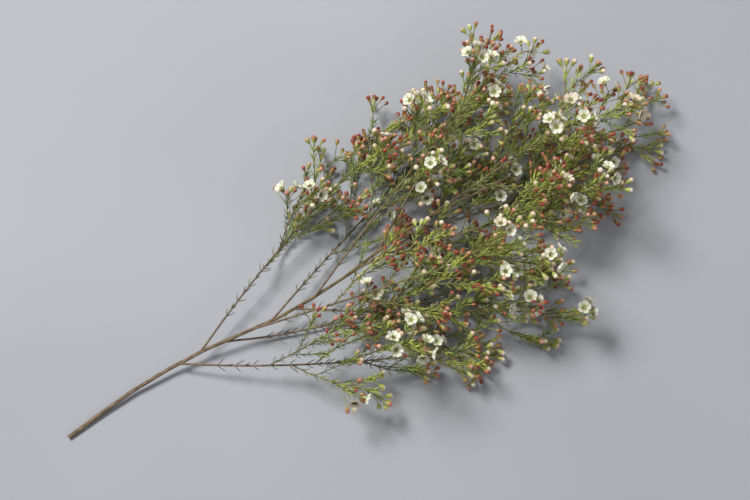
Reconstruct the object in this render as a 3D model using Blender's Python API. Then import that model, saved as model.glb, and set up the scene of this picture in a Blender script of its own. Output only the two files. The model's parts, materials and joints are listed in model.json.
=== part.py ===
"""A cut stem of waxflower on a table: needle-leaved sprays with round buds and five-petalled flowers."""

import math
import random

import bmesh
import bpy
from mathutils import Matrix, Vector

MM = 0.001
SEED = 11
UP = Vector((0, 0, 1))
TOWARDS_TIP = Vector((0, 1, 0))
SPIRAL = math.radians(137.5)  # from one shoot, bud or flower to the next round its axis

# The woody axis, from the cut end on the table to the foot of the leading spray
CUT_RADIUS = 2.35 * MM
STEM_TOP_RADIUS = 1.25 * MM
STEM_SIDES = 8
TWIG_SIDES = 3
STEM_ROUTE = (
    (0.0000, -0.3495, CUT_RADIUS * math.cos(math.pi / STEM_SIDES)),
    (-0.0090, -0.2715, 0.0062),
    (-0.0080, -0.1915, 0.0135),
    (0.0020, -0.1115, 0.0225),
    (0.0010, -0.0365, 0.0320),
    (-0.0080, 0.0385, 0.0400),
    (-0.0060, 0.1105, 0.0450),
)

# The side sprays: where the lowest and highest leave the stem, and how they grow
SIDE_SPRAYS = 12
LOWEST_SPRAY = 0.135
HIGHEST_SPRAY = 0.415
FIRST_AZIMUTH = 0.35
LOW_SPRAY_LENGTH = 0.305
HIGH_SPRAY_LENGTH = 0.215
LEADER_LENGTH = 0.204
LEADER_SPANS = 7
LOW_SPRAY_ANGLE = math.radians(34)
HIGH_SPRAY_ANGLE = math.radians(29)
FLATTENING = 0.5  # of the crown, as it lies
SPRAY_RADIUS = 1.15 * MM
TWIG_RADIUS = 0.62 * MM
TIP_RADIUS = 0.45 * MM
SPAN = 33 * MM  # the longest straight run of a twig
TURN_UP_STEM = 0.4  # how far a shoot turns to the stem's direction over its length
BEND_UP_BELOW = 6 * MM  # a shoot nearer the table than this bends away from it
TABLE_GAP = 2 * MM

# Twigs on a spray and twiglets on a twig: bare share of the parent, spacing, longest, shortest
BARE_OF_LEADER = 0.1
BARE_OF_SPRAY = 0.3
TWIGS = (25 * MM, 95 * MM, 40 * MM)
BARE_OF_TWIG = 0.3
TWIGLETS = (12.5 * MM, 42 * MM, 20 * MM)
LAST_SIDE_SHOOT = 0.92  # of the parent's length
SIDE_SHOOT_ANGLE = (math.radians(34), math.radians(46))
SIDE_SHOOT_TRIES = 8
THINNER_THAN_PARENT = 0.8
SAME_STAGE = 0.75  # of the twiglets are as far in flower as their twig

# Gaps between the solids
SEAT_GAP = 0.3 * MM
NODE_GAP = 0.6 * MM
PETAL_GAP = 0.5 * MM
NEEDLE_GAP = 0.35 * MM
STALK_GAP = 2 * MM  # from a flower's stalk to the middle of the twigs that it passes
KNOB_CLEAR = 2.2 * MM  # from the foot of a flower's stalk to where it has left the knob

# Flowers, buds and needles
HEADS_ON_SPRAY = (4, 3)  # in turn, up the stem
FLOWERS_IN_HEAD = (2, 2, 3)  # one of these by chance
KNOB_RADIUS = 0.7 * MM  # of the swelling that a head's stalks spread from
FLOWER_TRIES = 24
UPTURN = 0.55  # how far the flowers turn up, to the light
FLOWER_RADIUS = (6.3 * MM, 7.1 * MM)
PETALS = 5
PETAL_THICKNESS = 0.75 * MM
PETAL_ROOM = 1.0 * MM  # kept free on each side of a petal's middle
NOTCH = 0.56  # of a flower's radius, between two petals
CUP = 0.42  # rise of a petal's tip over a flower's radius
CALYX_LENGTH = 4.0 * MM
CALYX_RADIUS = 1.7 * MM
STALK_RADIUS = 0.42 * MM
STALK_LENGTH = (4.5 * MM, 8.5 * MM)
HEAD_SPACING = 27 * MM
EXPOSURE = 25 * MM  # how much lower than the highest a twig may end and still be the next to flower
COVER = (18 * MM, 8 * MM)  # how near a tip overhead is a cover, and how much lower one counts
STAGES = ("red", "mixed", "open")
BUD_STAGES = {
    "red": ("red", "red", "red", "pink"),
    "mixed": ("red", "pink", "white"),
    "open": ("pink", "white", "white"),
}
BALL_RADIUS = {
    "red": (1.7 * MM, 2.2 * MM),
    "pink": (1.95 * MM, 2.45 * MM),
    "white": (2.3 * MM, 2.9 * MM),
}
LEAFY_TIPS = 0.12  # of the shoots end in leaves alone
BUDS_ON_TIP = {"red": (6, 7, 8), "mixed": (5, 6, 7), "open": (4, 5, 6)}
BUDS_CLEAR_OF_HEAD = 3  # the places next to a head of flowers that hold no bud
BUD_SPACING = 1.7 * MM
BUD_STALK = (2.2 * MM, 4.0 * MM)
CUP_OF_BUD = (1.7, 2.1)  # length of a bud's cup over the radius of its ball
BUD_LEAN = (8, 46)  # degrees, for each place down from the tip and at most
BUD_TRIES = 6

# Needles: bare length of the shoot, spacing of the pairs, usual length
SPRAY_NEEDLES = (9 * MM, 10 * MM)
TWIG_NEEDLES = (5 * MM, 5.5 * MM, 7.6 * MM)
BARE_OF_NEEDLES = 0.12  # of a spray's main shoot
NEEDLE_ANGLE = (30, 48)
NEEDLE_RADIUS = 0.6 * MM
NEEDLE_ROOT_RADIUS = 0.2 * MM

# Of the plant's many twiglets and needles, the solids hold one in so many, evenly over it
TWIGLET_STEP = 24
NEEDLE_STEP = 32


def smooth_route(knots, per_span):
    """Points of a Catmull-Rom curve through the knots."""
    knots = [Vector(knot) for knot in knots]
    knots = [2 * knots[0] - knots[1], *knots, 2 * knots[-1] - knots[-2]]
    points = []
    for a, b, c, d in zip(knots, knots[1:], knots[2:], knots[3:]):
        for i in range(per_span):
            t = i / per_span
            bend = (c - a) * t + (2 * a - 5 * b + 4 * c - d) * t**2 + (3 * b - a - 3 * c + d) * t**3
            points.append(b + bend / 2)
    return [*points, knots[-2]]


def across(direction, azimuth):
    """A unit vector square to direction, turned about it by azimuth."""
    side = direction.cross(UP)
    if side.length < 0.1:
        side = direction.cross(TOWARDS_TIP)
    return Matrix.Rotation(azimuth, 3, direction) @ side.normalized()


def leaning(direction, azimuth, angle):
    """direction, a unit vector, tipped over by angle towards azimuth."""
    return math.cos(angle) * direction + math.sin(angle) * across(direction, azimuth)


class Shoot:
    """A length of axis as a chain of points, tapering from its foot to its tip."""

    def __init__(self, points, foot_radius, tip_radius, level=0, stage="red"):
        self.points = points
        self.foot_radius = foot_radius
        self.tip_radius = tip_radius
        self.level = level
        self.stage = stage
        self.marks = [0.0]
        for a, b in zip(points, points[1:]):
            self.marks.append(self.marks[-1] + (b - a).length)
        self.length = self.marks[-1]

    def at(self, share):
        """The point and the direction at this share of the length."""
        reach = share * self.length
        i = 0
        while i < len(self.points) - 2 and self.marks[i + 1] < reach:
            i += 1
        a, b = self.points[i], self.points[i + 1]
        t = (reach - self.marks[i]) / (self.marks[i + 1] - self.marks[i])
        return a.lerp(b, t), (b - a).normalized()

    def radius(self, share):
        return self.foot_radius + (self.tip_radius - self.foot_radius) * share

    def spans(self):
        return zip(self.points, self.points[1:])


class Spray:
    """A side branch and all that grows on it."""

    def __init__(self, name):
        self.name = name
        self.rng = random.Random(f"{SEED} {name}")
        self.shoots = []
        self.heads = []
        self.buds = []
        self.needles = []


def span_gap(p, q, a, b):
    """The distance between the straight spans p-q and a-b."""
    u, v, w = q - p, b - a, p - a
    uu, uv, vv, uw, vw = u.dot(u), u.dot(v), v.dot(v), u.dot(w), v.dot(w)
    area = uu * vv - uv * uv
    s = 0.0 if area < 1e-18 else min(max((uv * vw - vv * uw) / area, 0.0), 1.0)
    t = min(max((uv * s + vw) / max(vv, 1e-18), 0.0), 1.0)
    s = min(max((uv * t - uw) / max(uu, 1e-18), 0.0), 1.0)
    return (w + u * s - v * t).length


class Space:
    """The room that is taken, as round-ended rods in a grid, each with the node it belongs to."""

    CELL = 12 * MM

    def __init__(self):
        self.cells = {}

    def keys(self, p, q, reach):
        ranges = []
        for a, b in zip(p, q):
            first = math.floor((min(a, b) - reach) / self.CELL)
            last = math.floor((max(a, b) + reach) / self.CELL)
            ranges.append(range(first, last + 1))
        return [(i, j, k) for i in ranges[0] for j in ranges[1] for k in ranges[2]]

    def take(self, owner, p, q, radius):
        for key in self.keys(p, q, radius):
            self.cells.setdefault(key, []).append((owner, p, q, radius))

    def take_shoot(self, owner, shoot):
        for i, (a, b) in enumerate(shoot.spans()):
            self.take(owner, a, b, shoot.radius(i / (len(shoot.points) - 1)))

    def free(self, owner, p, q, radius, gap):
        """Whether a rod keeps this gap to all that doesn't belong to owner."""
        for key in self.keys(p, q, radius + gap):
            for other, a, b, thick in self.cells.get(key, ()):
                if other != owner and span_gap(p, q, a, b) < radius + thick + gap:
                    return False
        return True

    def free_route(self, owner, points, radius):
        """Whether a shoot along these points is clear of the table and of the other nodes."""
        return all(
            min(a.z, b.z) > radius + TABLE_GAP and self.free(owner, a, b, radius, NODE_GAP)
            for a, b in zip(points, points[1:])
        )


def grow(start, heading, length, spans, sway):
    """Points of a shoot that turns slowly up the stem and bends away from the table."""
    step = length / spans
    points = [start]
    direction = heading.normalized()
    for _ in range(spans):
        direction = direction + (TOWARDS_TIP * TURN_UP_STEM + sway) / spans
        direction.normalize()
        dip = BEND_UP_BELOW - (points[-1] + direction * step).z
        if dip > 0:
            direction = (direction + UP * dip / step).normalized()
        points.append(points[-1] + direction * step)
    return points


def plan_main_shoots(stem, space):
    """The main shoot of each side spray, in a spiral up the stem, and of the leading spray."""
    sprays = []
    for i in range(SIDE_SPRAYS):
        spray = Spray(f"spray_{i + 1:02d}")
        rng = spray.rng
        rise = i / (SIDE_SPRAYS - 1)
        share = (LOWEST_SPRAY + (HIGHEST_SPRAY - LOWEST_SPRAY) * rise) / stem.length
        foot, along = stem.at(share)
        azimuth = i * SPIRAL + FIRST_AZIMUTH
        radial = across(along, -azimuth)
        spread = Vector((radial.x, radial.y, radial.z * FLATTENING))
        angle = LOW_SPRAY_ANGLE + (HIGH_SPRAY_ANGLE - LOW_SPRAY_ANGLE) * rise
        angle += math.radians(rng.uniform(-3, 3))
        length = LOW_SPRAY_LENGTH + (HIGH_SPRAY_LENGTH - LOW_SPRAY_LENGTH) * rise
        length *= rng.uniform(0.94, 1.06)
        heading = math.cos(angle) * along + math.sin(angle) * spread
        start = foot + radial * (stem.radius(share) + SEAT_GAP + SPRAY_RADIUS * math.cos(angle))
        sway = Vector((rng.uniform(-0.12, 0.12), 0, rng.uniform(-0.35, -0.1)))
        points = grow(start, heading, length, round(length / SPAN), sway)
        spray.shoots.append(Shoot(points, SPRAY_RADIUS, TWIG_RADIUS, 1))
        sprays.append(spray)
    leader = Spray("leading_spray")
    top, along = stem.at(1.0)
    points = grow(top + along * SEAT_GAP, along, LEADER_LENGTH, LEADER_SPANS, Vector((0.05, 0, -0.32)))
    leader.shoots.append(Shoot(points, STEM_TOP_RADIUS, TWIG_RADIUS, 1))
    sprays.append(leader)
    for spray in sprays:
        space.take_shoot(spray.name, spray.shoots[0])
    return sprays


def plan_side_shoots(space, spray, parent, first, spacing, longest, shortest):
    """Shoots in a spiral along their parent, shorter towards its tip, each clear of the other sprays."""
    rng = spray.rng
    reach = first
    turn = rng.uniform(0, math.tau)
    while reach < parent.length * LAST_SIDE_SHOOT:
        share = reach / parent.length
        foot, along = parent.at(share)
        usual = longest + (shortest - longest) * (reach - first) / (parent.length - first)
        for _ in range(SIDE_SHOOT_TRIES):
            heading = leaning(along, turn + rng.uniform(-0.5, 0.5), rng.uniform(*SIDE_SHOOT_ANGLE))
            sway = Vector((rng.uniform(-0.15, 0.15), 0, rng.uniform(-0.2, 0.1)))
            length = usual * rng.uniform(0.82, 1.15)
            points = grow(foot, heading, length, max(1, round(length / SPAN)), sway)
            radius = min(parent.radius(share) * THINNER_THAN_PARENT, TWIG_RADIUS)
            if space.free_route(spray.name, points, radius):
                level = parent.level + 1
                stage = rng.choice(STAGES)
                if level == 3 and rng.random() < SAME_STAGE:
                    stage = parent.stage
                shoot = Shoot(points, radius, TIP_RADIUS, level, stage)
                spray.shoots.append(shoot)
                space.take_shoot(spray.name, shoot)
                break
            turn += 0.9
        turn += SPIRAL
        reach += spacing * rng.uniform(0.85, 1.15)


def petal_spokes(flower, count=15):
    """Rods that fill a flower's cup, from near its middle to near its rim."""
    spokes = []
    for i in range(count):
        out = across(flower["axis"], flower["roll"] + i * math.tau / count)
        inner, outer = (
            flower["centre"] + flower["radius"] * (share * out + CUP * share**2 * flower["axis"])
            for share in (0.3, 0.86)
        )
        spokes.append((inner, outer))
    return spokes


def plan_flower(space, spray, shoot, foot, along, turn, spread):
    """An open flower on its stalk, which starts at foot, or nothing where there is no room."""
    rng = spray.rng
    for _ in range(FLOWER_TRIES):
        out = across(along, turn + rng.uniform(-0.9, 0.9))
        axis = along * rng.uniform(0.45, 0.85) + out * rng.uniform(0.3, 0.5) * spread + UP * UPTURN
        axis.normalize()
        stalk = rng.uniform(*STALK_LENGTH)
        throat = foot + axis * stalk
        mouth = throat + axis * CALYX_LENGTH
        flower = {
            "foot": foot,
            "axis": axis,
            "stalk": stalk,
            "radius": rng.uniform(*FLOWER_RADIUS),
            "roll": rng.uniform(0, math.tau),
            "centre": mouth + axis * PETAL_THICKNESS,
        }
        spokes = petal_spokes(flower)
        others = [other for other in spray.shoots if other is not shoot]
        if (
            min(min(a.z, b.z) for a, b in spokes) > PETAL_ROOM + PETAL_GAP
            and all(span_gap(foot, throat, *span) > STALK_GAP for other in others for span in other.spans())
            and space.free(None, foot + axis * KNOB_CLEAR, throat, STALK_RADIUS, SEAT_GAP)
            and space.free(None, throat, mouth, CALYX_RADIUS, SEAT_GAP)
            and all(space.free(None, a, b, PETAL_ROOM, PETAL_GAP) for a, b in spokes)
        ):
            for a, b in spokes:
                space.take("flowers", a, b, PETAL_ROOM)
            space.take("flowers", foot, throat, STALK_RADIUS)
            space.take("flowers", throat, mouth, CALYX_RADIUS)
            return flower
    return None


def plan_heads(space, sprays):
    """Each spray's heads of one to three open flowers, at tips that stand high and in the open."""
    tips = [shoot.points[-1] for spray in sprays for shoot in spray.shoots]
    near, lower = COVER
    feet = []
    for i, spray in enumerate(sprays):
        rng = spray.rng
        quota = HEADS_ON_SPRAY[i % len(HEADS_ON_SPRAY)]
        openness = {}
        for shoot in spray.shoots:
            tip = shoot.points[-1]
            covers = sum(other.z > tip.z and (other - tip).xy.length < near for other in tips)
            openness[shoot] = tip.z - covers * lower + rng.uniform(0, EXPOSURE)
        sites = sorted(spray.shoots, key=openness.get, reverse=True)
        sites.sort(key=lambda shoot: shoot.stage == "red")
        for shoot in sites:
            if len(spray.heads) == quota:
                break
            tip, along = shoot.at(1)
            foot = tip + along * (SEAT_GAP + KNOB_RADIUS)
            if any((foot - other).length < HEAD_SPACING for other in feet):
                continue
            flowers = []
            count = rng.choice(FLOWERS_IN_HEAD)
            turn = rng.uniform(0, math.tau)
            for rank in range(count):
                flower = plan_flower(space, spray, shoot, foot, along, turn + rank * math.tau / count, count)
                if flower:
                    flowers.append(flower)
            if flowers:
                spray.heads.append({"shoot": shoot, "foot": foot, "along": along, "flowers": flowers})
                feet.append(foot)


def plan_buds(space, spray, shoot):
    """A loose flat-topped head of closed buds round the tip of a shoot; a few shoots end in leaves alone."""
    rng = spray.rng
    if rng.random() < LEAFY_TIPS:
        return
    turn = rng.uniform(0, math.tau)
    first = BUDS_CLEAR_OF_HEAD if any(head["shoot"] is shoot for head in spray.heads) else 0
    each, most = BUD_LEAN
    for rank in range(first, first + rng.choice(BUDS_ON_TIP[shoot.stage])):
        stage = rng.choice(BUD_STAGES[shoot.stage])
        ball = rng.uniform(*BALL_RADIUS[stage])
        calyx = ball * rng.uniform(*CUP_OF_BUD)
        back = rank * BUD_SPACING
        foot, along = shoot.at(1 - back / shoot.length)
        for _ in range(BUD_TRIES):
            turn += SPIRAL
            lean = math.radians(min(each * (rank + 1), most) + rng.uniform(-4, 6)) if rank else 0.0
            stalk = (rng.uniform(*BUD_STALK) + back * 0.8) / math.cos(lean)
            axis = leaning(along, turn, lean)
            throat = foot + axis * stalk
            centre = throat + axis * (calyx + ball / 2)
            waist = centre - axis * calyx / 2
            if (
                centre.z > ball
                and space.free(spray.name, foot, throat, STALK_RADIUS, NODE_GAP)
                and space.free(None, waist, centre, ball, NEEDLE_GAP)
            ):
                bud = {"foot": foot, "axis": axis, "stalk": stalk, "calyx": calyx, "ball": ball}
                bud.update(stage=stage, shoot=shoot, rank=rank)
                spray.buds.append(bud)
                space.take(spray.name, foot, throat, STALK_RADIUS)
                space.take(f"buds of {spray.name}", waist, centre, ball)
                break


def plan_needles(space, spray, shoot, first, spacing, usual):
    """Needle leaves in pairs, each pair square to the last, that stand clear of flowers and other sprays."""
    rng = spray.rng
    reach = first
    turn = rng.uniform(0, math.tau)
    while reach < shoot.length - 0.5 * MM:
        share = reach / shoot.length
        foot, along = shoot.at(share)
        for side in (0, math.pi):
            length = usual * rng.uniform(0.78, 1.15)
            angle = math.radians(rng.uniform(*NEEDLE_ANGLE) - 10 * share)
            heading = leaning(along, turn + side + rng.uniform(-0.25, 0.25), angle)
            tip = foot + heading * length
            start = foot + heading * shoot.radius(share)
            if (
                tip.z > NEEDLE_RADIUS
                and space.free(spray.name, foot, tip, NEEDLE_RADIUS, NEEDLE_GAP)
            ):
                needle = {"foot": foot, "heading": heading, "length": length, "shoot": shoot, "share": share}
                spray.needles.append(needle)
                space.take(spray.name, start, tip, NEEDLE_RADIUS)
        turn += math.pi / 2 + rng.uniform(-0.2, 0.2)
        reach += spacing * rng.uniform(0.85, 1.15)


def plan_stem():
    """The whole plant as chains of points and lists of what they carry."""
    space = Space()
    stem = Shoot(smooth_route(STEM_ROUTE, 2), CUT_RADIUS, STEM_TOP_RADIUS)
    space.take_shoot("main_stem", stem)
    sprays = plan_main_shoots(stem, space)
    for spray in sprays:
        main = spray.shoots[0]
        bare = BARE_OF_LEADER if spray.name == "leading_spray" else BARE_OF_SPRAY
        plan_side_shoots(space, spray, main, bare * main.length, *TWIGS)
    for spray in sprays:
        for twig in spray.shoots[1:]:
            plan_side_shoots(space, spray, twig, BARE_OF_TWIG * twig.length, *TWIGLETS)
    plan_heads(space, sprays)
    for spray in sprays:
        for shoot in spray.shoots:
            plan_buds(space, spray, shoot)
    for spray in sprays:
        for shoot in spray.shoots:
            if shoot.level == 1:
                plan_needles(space, spray, shoot, BARE_OF_NEEDLES * shoot.length, *SPRAY_NEEDLES)
            else:
                plan_needles(space, spray, shoot, *TWIG_NEEDLES)
    return stem, sprays


def painted(name, colour, roughness):
    material = bpy.data.materials.new(name)
    material.use_nodes = True
    shader = material.node_tree.nodes["Principled BSDF"]
    shader.inputs["Base Color"].default_value = (*colour, 1)
    shader.inputs["Roughness"].default_value = roughness
    shader.inputs["Metallic"].default_value = 0
    return material


def add(name, mesh, collection):
    thing = bpy.data.objects.new(name, mesh)
    collection.objects.link(thing)
    return thing


def new_collection(name):
    collection = bpy.data.collections.new(name)
    bpy.context.scene.collection.children.link(collection)
    return collection


def ring(sides):
    """A regular outline with its corners 1 m out, which a curve's point radius scales to the real size."""
    curve = bpy.data.curves.new("ring", "CURVE")
    spline = curve.splines.new("POLY")
    spline.points.add(sides - 1)
    for i, point in enumerate(spline.points):
        angle = (i + 0.5) * math.tau / sides
        point.co = (math.sin(angle), math.cos(angle), 0, 1)
    spline.use_cyclic_u = True
    outline = bpy.data.objects.new("ring", curve)
    return outline


def tube(name, places, outline, collection):
    """A closed tube with the outline's sides, along (point, radius) places."""
    curve = bpy.data.curves.new(name, "CURVE")
    curve.dimensions = "3D"
    curve.bevel_mode = "OBJECT"
    curve.bevel_object = outline
    curve.use_fill_caps = True
    spline = curve.splines.new("POLY")
    spline.points.add(len(places) - 1)
    for point, (place, radius) in zip(spline.points, places):
        point.co = (*place, 1)
        point.radius = radius
    guide = add(name, curve, collection)
    graph = bpy.context.evaluated_depsgraph_get()
    mesh = bpy.data.meshes.new_from_object(guide.evaluated_get(graph))
    bpy.data.objects.remove(guide)
    bm = bmesh.new()
    bm.from_mesh(mesh)
    bmesh.ops.remove_doubles(bm, verts=bm.verts, dist=0.01 * MM)
    bmesh.ops.recalc_face_normals(bm, faces=bm.faces)
    bm.to_mesh(mesh)
    bm.free()
    return add(name, mesh, collection)


def shoot_places(shoot):
    return [(point, shoot.radius(mark / shoot.length)) for point, mark in zip(shoot.points, shoot.marks)]


def placing(foot, axis, roll=0.0):
    """The matrix that stands a shape built along +Z on foot, along axis."""
    turn = Matrix.Rotation(roll, 4, "Z")
    return Matrix.Translation(foot) @ axis.to_track_quat("Z", "Y").to_matrix().to_4x4() @ turn


def turned(name, profile, sides, matrix, collection):
    """A closed shape turned from (radius, height) points that start and end on its axis."""
    bm = bmesh.new()
    points = [bm.verts.new((radius, 0, height)) for radius, height in profile]
    edges = [bm.edges.new(pair) for pair in zip(points, points[1:])]
    bmesh.ops.spin(bm, geom=[*points, *edges], axis=UP, cent=(0, 0, 0), angle=math.tau, steps=sides)
    bmesh.ops.remove_doubles(bm, verts=bm.verts, dist=0.01 * MM)
    bmesh.ops.recalc_face_normals(bm, faces=bm.faces)
    bm.transform(matrix)
    mesh = bpy.data.meshes.new(name)
    bm.to_mesh(mesh)
    bm.free()
    return add(name, mesh, collection)


def needle_solid(needle, collection):
    """A needle leaf, three-sided, widest near its root and pointed."""
    length = needle["length"]
    profile = ((0, 0), (NEEDLE_ROOT_RADIUS, 0), (NEEDLE_RADIUS, 0.3 * length), (0, length))
    return turned("needle", profile, 3, placing(needle["foot"], needle["heading"]), collection)


def shoot_with_tip(spray, shoot):
    """The places of a shoot's tube, with the closed bud that its own tip carries."""
    places = shoot_places(shoot)
    for bud in spray.buds:
        if bud["shoot"] is shoot and bud["rank"] == 0:
            # This bud is in line with the shoot, whose last point it needs no more.
            throat = bud["foot"] + bud["axis"] * bud["stalk"]
            mouth = throat + bud["axis"] * bud["calyx"]
            ball = bud["ball"]
            crown = mouth + bud["axis"] * ball * 1.4
            return places[:-1] + [(throat, STALK_RADIUS), (mouth, ball), (crown, ball * 0.6)]
    return places


def kept_shoots(spray):
    """The shoots that the solids hold: all twigs, the twiglets in flower or furthest out, and a few more."""
    twiglets = [shoot for shoot in spray.shoots if shoot.level == 3]
    kept = twiglets[::TWIGLET_STEP] + [head["shoot"] for head in spray.heads]
    kept.append(max(twiglets, key=lambda shoot: abs(shoot.points[-1].x)))
    kept.append(max(twiglets, key=lambda shoot: shoot.points[-1].y))
    return [shoot for shoot in spray.shoots if shoot.level < 3 or shoot in kept]


def fuse(body, pieces, material):
    """body and the pieces as one closed mesh of this material; the pieces' collection goes."""
    union = body.modifiers.new("joined", "BOOLEAN")
    union.operation = "UNION"
    union.solver = "MANIFOLD"
    union.operand_type = "COLLECTION"
    union.collection = pieces
    graph = bpy.context.evaluated_depsgraph_get()
    whole = bpy.data.meshes.new_from_object(body.evaluated_get(graph))
    body.modifiers.clear()
    body.data = whole
    whole.materials.clear()
    whole.materials.append(material)
    for piece in list(pieces.objects):
        bpy.data.objects.remove(piece)
    bpy.data.collections.remove(pieces)


def spray_solid(spray, outline, collection, material):
    """A spray as one body: its main shoot joined with its twigs, buds and needles."""
    pieces = new_collection(f"pieces of {spray.name}")
    shoots = kept_shoots(spray)
    for shoot in shoots:
        home = collection if shoot.level == 1 else pieces
        tube(spray.name, shoot_with_tip(spray, shoot), outline, home)
    for needle in [n for n in spray.needles if n["shoot"] in shoots][::NEEDLE_STEP]:
        needle_solid(needle, pieces)
    fuse(collection.objects[spray.name], pieces, material)


def flower_solid(name, flower, collection):
    """A flower as one body: its stalk, its calyx tube and a cup of petals, drawn in between each two."""
    bm = bmesh.new()
    throat = -PETAL_THICKNESS - CALYX_LENGTH
    profile = (
        (STALK_RADIUS, throat - flower["stalk"]),
        (STALK_RADIUS, throat),
        (CALYX_RADIUS, -PETAL_THICKNESS),
    )
    corners = [k * math.tau / TWIG_SIDES for k in range(TWIG_SIDES)]
    foot, neck, mouth = (
        [bm.verts.new((out * math.cos(angle), out * math.sin(angle), height)) for angle in corners]
        for out, height in profile
    )
    rims = []
    for drop in (PETAL_THICKNESS, 0):
        rim = []
        for i in range(3 * PETALS):
            angle = i * math.tau / (3 * PETALS)
            share = 1 - NOTCH * abs(math.cos(angle * PETALS / 2)) ** 6
            out = flower["radius"] * share
            lift = flower["radius"] * CUP * share**2 - drop
            rim.append(bm.verts.new((out * math.cos(angle), out * math.sin(angle), lift)))
        rims.append(rim)
    under, over = rims
    for low, high in ((foot, neck), (neck, mouth), (under, over)):
        for i in range(len(low)):
            bm.faces.new((low[i - 1], low[i], high[i], high[i - 1]))
    middle = bm.verts.new((0, 0, 0))
    for i in range(3 * PETALS):
        nearest = mouth[(i + 2) // PETALS % TWIG_SIDES]
        bm.faces.new((over[i - 1], over[i], middle))
        bm.faces.new((under[i - 1], nearest, under[i]))
    for k in range(TWIG_SIDES):
        bm.faces.new((mouth[k - 1], mouth[k], under[PETALS * k - 3]))
    bm.faces.new(foot)
    bmesh.ops.recalc_face_normals(bm, faces=bm.faces)
    bm.transform(placing(flower["centre"], flower["axis"], flower["roll"]))
    mesh = bpy.data.meshes.new(name)
    bm.to_mesh(mesh)
    bm.free()
    return add(name, mesh, collection)


def head_solid(name, head, collection, material):
    """A head of open flowers as one body, joined by the knob that their stalks spread from."""
    first, *others = head["flowers"]
    body = flower_solid(name, first, collection)
    body.data.materials.append(material)
    if others:
        pieces = new_collection(f"pieces of {name}")
        knob = ((0, -KNOB_RADIUS), (KNOB_RADIUS, 0), (0, KNOB_RADIUS))
        turned("knob", knob, 4, placing(head["foot"], head["along"]), pieces)
        for flower in others:
            flower_solid("flower", flower, pieces)
        fuse(body, pieces, material)


def main():
    for thing in list(bpy.data.objects):
        bpy.data.objects.remove(thing)
    collection = new_collection("waxflower stem")
    bark = painted("bark", (0.115, 0.075, 0.045), 0.85)
    leaf = painted("needle leaf", (0.085, 0.135, 0.035), 0.55)
    petal = painted("petal", (0.82, 0.83, 0.78), 0.5)
    stem, sprays = plan_stem()
    octagon = ring(STEM_SIDES)
    triangle = ring(TWIG_SIDES)
    wood = tube("main_stem", shoot_places(stem), octagon, collection)
    wood.data.materials.append(bark)
    for spray in sprays:
        spray_solid(spray, triangle, collection, leaf)
    heads = [head for spray in sprays for head in spray.heads]
    for i, head in enumerate(heads, 1):
        head_solid(f"flower_head_{i:02d}", head, collection, petal)
    bpy.data.objects.remove(octagon)
    bpy.data.objects.remove(triangle)


main()
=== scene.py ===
"""A waxflower stem, cut and lying on a pale surface, with all its needles, buds and flowers."""

import json
import math
import random

import bpy
from mathutils import Matrix, Vector, noise

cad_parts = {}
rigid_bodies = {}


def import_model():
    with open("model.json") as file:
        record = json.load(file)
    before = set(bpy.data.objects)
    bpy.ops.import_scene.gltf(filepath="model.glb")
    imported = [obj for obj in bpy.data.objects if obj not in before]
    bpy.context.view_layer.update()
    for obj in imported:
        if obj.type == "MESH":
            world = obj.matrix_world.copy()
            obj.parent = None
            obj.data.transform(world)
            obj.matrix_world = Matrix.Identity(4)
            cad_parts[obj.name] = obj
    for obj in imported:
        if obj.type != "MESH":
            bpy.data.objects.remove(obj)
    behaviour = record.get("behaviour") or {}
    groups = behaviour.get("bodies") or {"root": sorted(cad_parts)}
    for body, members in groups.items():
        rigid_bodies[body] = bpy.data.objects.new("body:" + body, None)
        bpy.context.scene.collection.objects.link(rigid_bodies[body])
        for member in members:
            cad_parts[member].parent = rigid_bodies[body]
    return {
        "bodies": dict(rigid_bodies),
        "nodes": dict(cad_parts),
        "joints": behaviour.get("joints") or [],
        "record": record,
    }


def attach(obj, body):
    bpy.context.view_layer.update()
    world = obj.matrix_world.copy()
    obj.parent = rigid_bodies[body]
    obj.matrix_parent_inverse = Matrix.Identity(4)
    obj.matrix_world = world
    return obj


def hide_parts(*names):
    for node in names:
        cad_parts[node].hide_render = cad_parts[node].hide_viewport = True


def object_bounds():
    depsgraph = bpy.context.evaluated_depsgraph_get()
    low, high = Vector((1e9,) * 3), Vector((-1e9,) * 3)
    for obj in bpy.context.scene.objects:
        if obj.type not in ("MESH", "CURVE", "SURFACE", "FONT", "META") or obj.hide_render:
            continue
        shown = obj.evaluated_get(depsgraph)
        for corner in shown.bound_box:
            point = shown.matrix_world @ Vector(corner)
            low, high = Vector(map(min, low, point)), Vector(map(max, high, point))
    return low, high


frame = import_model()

solids_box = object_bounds()

MM = 0.001
SEED = 11
UP = Vector((0, 0, 1))
TOWARDS_TIP = Vector((0, 1, 0))
SPIRAL = math.radians(137.5)  # from one shoot, bud or flower to the next round its axis

# The woody axis, from the cut end on the table to the foot of the leading spray
CUT_RADIUS = 2.35 * MM
STEM_TOP_RADIUS = 1.25 * MM
STEM_SIDES = 8
STEM_ROUTE = (
    (0.0000, -0.3495, CUT_RADIUS * math.cos(math.pi / STEM_SIDES)),
    (-0.0090, -0.2715, 0.0062),
    (-0.0080, -0.1915, 0.0135),
    (0.0020, -0.1115, 0.0225),
    (0.0010, -0.0365, 0.0320),
    (-0.0080, 0.0385, 0.0400),
    (-0.0060, 0.1105, 0.0450),
)

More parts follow.
